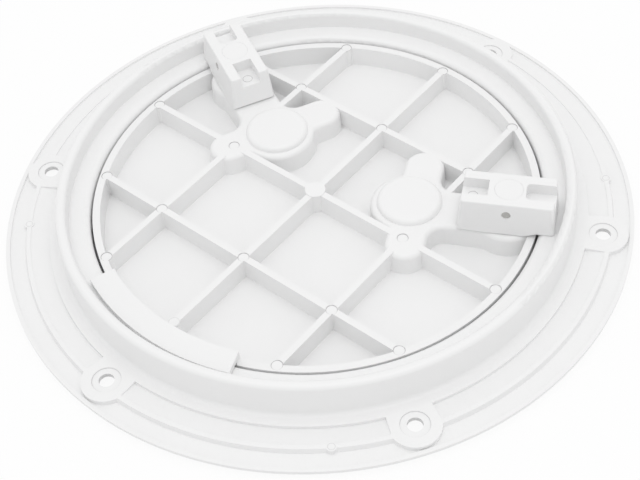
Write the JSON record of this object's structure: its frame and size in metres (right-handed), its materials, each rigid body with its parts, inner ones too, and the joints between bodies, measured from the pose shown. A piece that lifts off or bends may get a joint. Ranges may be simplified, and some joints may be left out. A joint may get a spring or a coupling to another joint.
{
  "type": "deck inspection plate",
  "caption": "Round deck inspection hatch, underside up: screw-down flange frame with a collar, detachable ribbed lid and lift-and-turn latches that bear on a ledge.",
  "frame": {"origin": "centre of the flat top face, on which the hatch lies with its underside up", "axes": "+Z out of the underside, along the screw holes and towards the inside of the boat; the latch block on the right lies near +X and the left one near +Y"},
  "size_m": [0.278, 0.278, 0.0293],
  "materials": {
    "white_moulding": "moulded white ABS, satin gloss",
    "stainless": "drawn stainless steel pin",
    "seal_rubber": "black elastomer",
    "washer_plastic": "natural acetal"
  },
  "bodies": {
    "frame_and_lid": {"mounting_frame": "white_moulding", "hatch_lid": "white_moulding", "lid_gasket": "seal_rubber", "left_thrust_washer": "washer_plastic", "right_thrust_washer": "washer_plastic"},
    "left_latch": {"left_latch_shaft": "white_moulding", "left_latch_block": "white_moulding", "left_block_pin": "stainless", "left_lever_pin": "stainless", "left_shaft_seal": "seal_rubber"},
    "left_lever": {"left_lever": "white_moulding"},
    "right_latch": {"right_latch_shaft": "white_moulding", "right_latch_block": "white_moulding", "right_block_pin": "stainless", "right_lever_pin": "stainless", "right_shaft_seal": "seal_rubber"},
    "right_lever": {"right_lever": "white_moulding"}
  },
  "joints": [
    {"name": "left_latch_turn", "type": "hinge", "parent": "frame_and_lid", "child": "left_latch", "pos_m": [-0.03111, 0.07937, 0], "axis": [0, 0, 1], "range_deg": [0, 90]},
    {"name": "left_lever_lift", "type": "hinge", "parent": "left_latch", "child": "left_lever", "pos_m": [-0.03111, 0.07937, 0.0021], "axis": [0.9311, 0.3649, 0], "range_deg": [0, 90]},
    {"name": "right_latch_turn", "type": "hinge", "parent": "frame_and_lid", "child": "right_latch", "pos_m": [0.0808, -0.02719, 0], "axis": [0, 0, -1], "range_deg": [0, 90]},
    {"name": "right_lever_lift", "type": "hinge", "parent": "right_latch", "child": "right_lever", "pos_m": [0.0808, -0.02719, 0.0021], "axis": [-0.319, -0.9478, 0], "range_deg": [0, 90]}
  ],
  "couplings": [
    {"joint": "left_lever_lift", "follows": "left_latch_turn", "ratio": 1},
    {"joint": "right_lever_lift", "follows": "right_latch_turn", "ratio": 1}
  ]
}
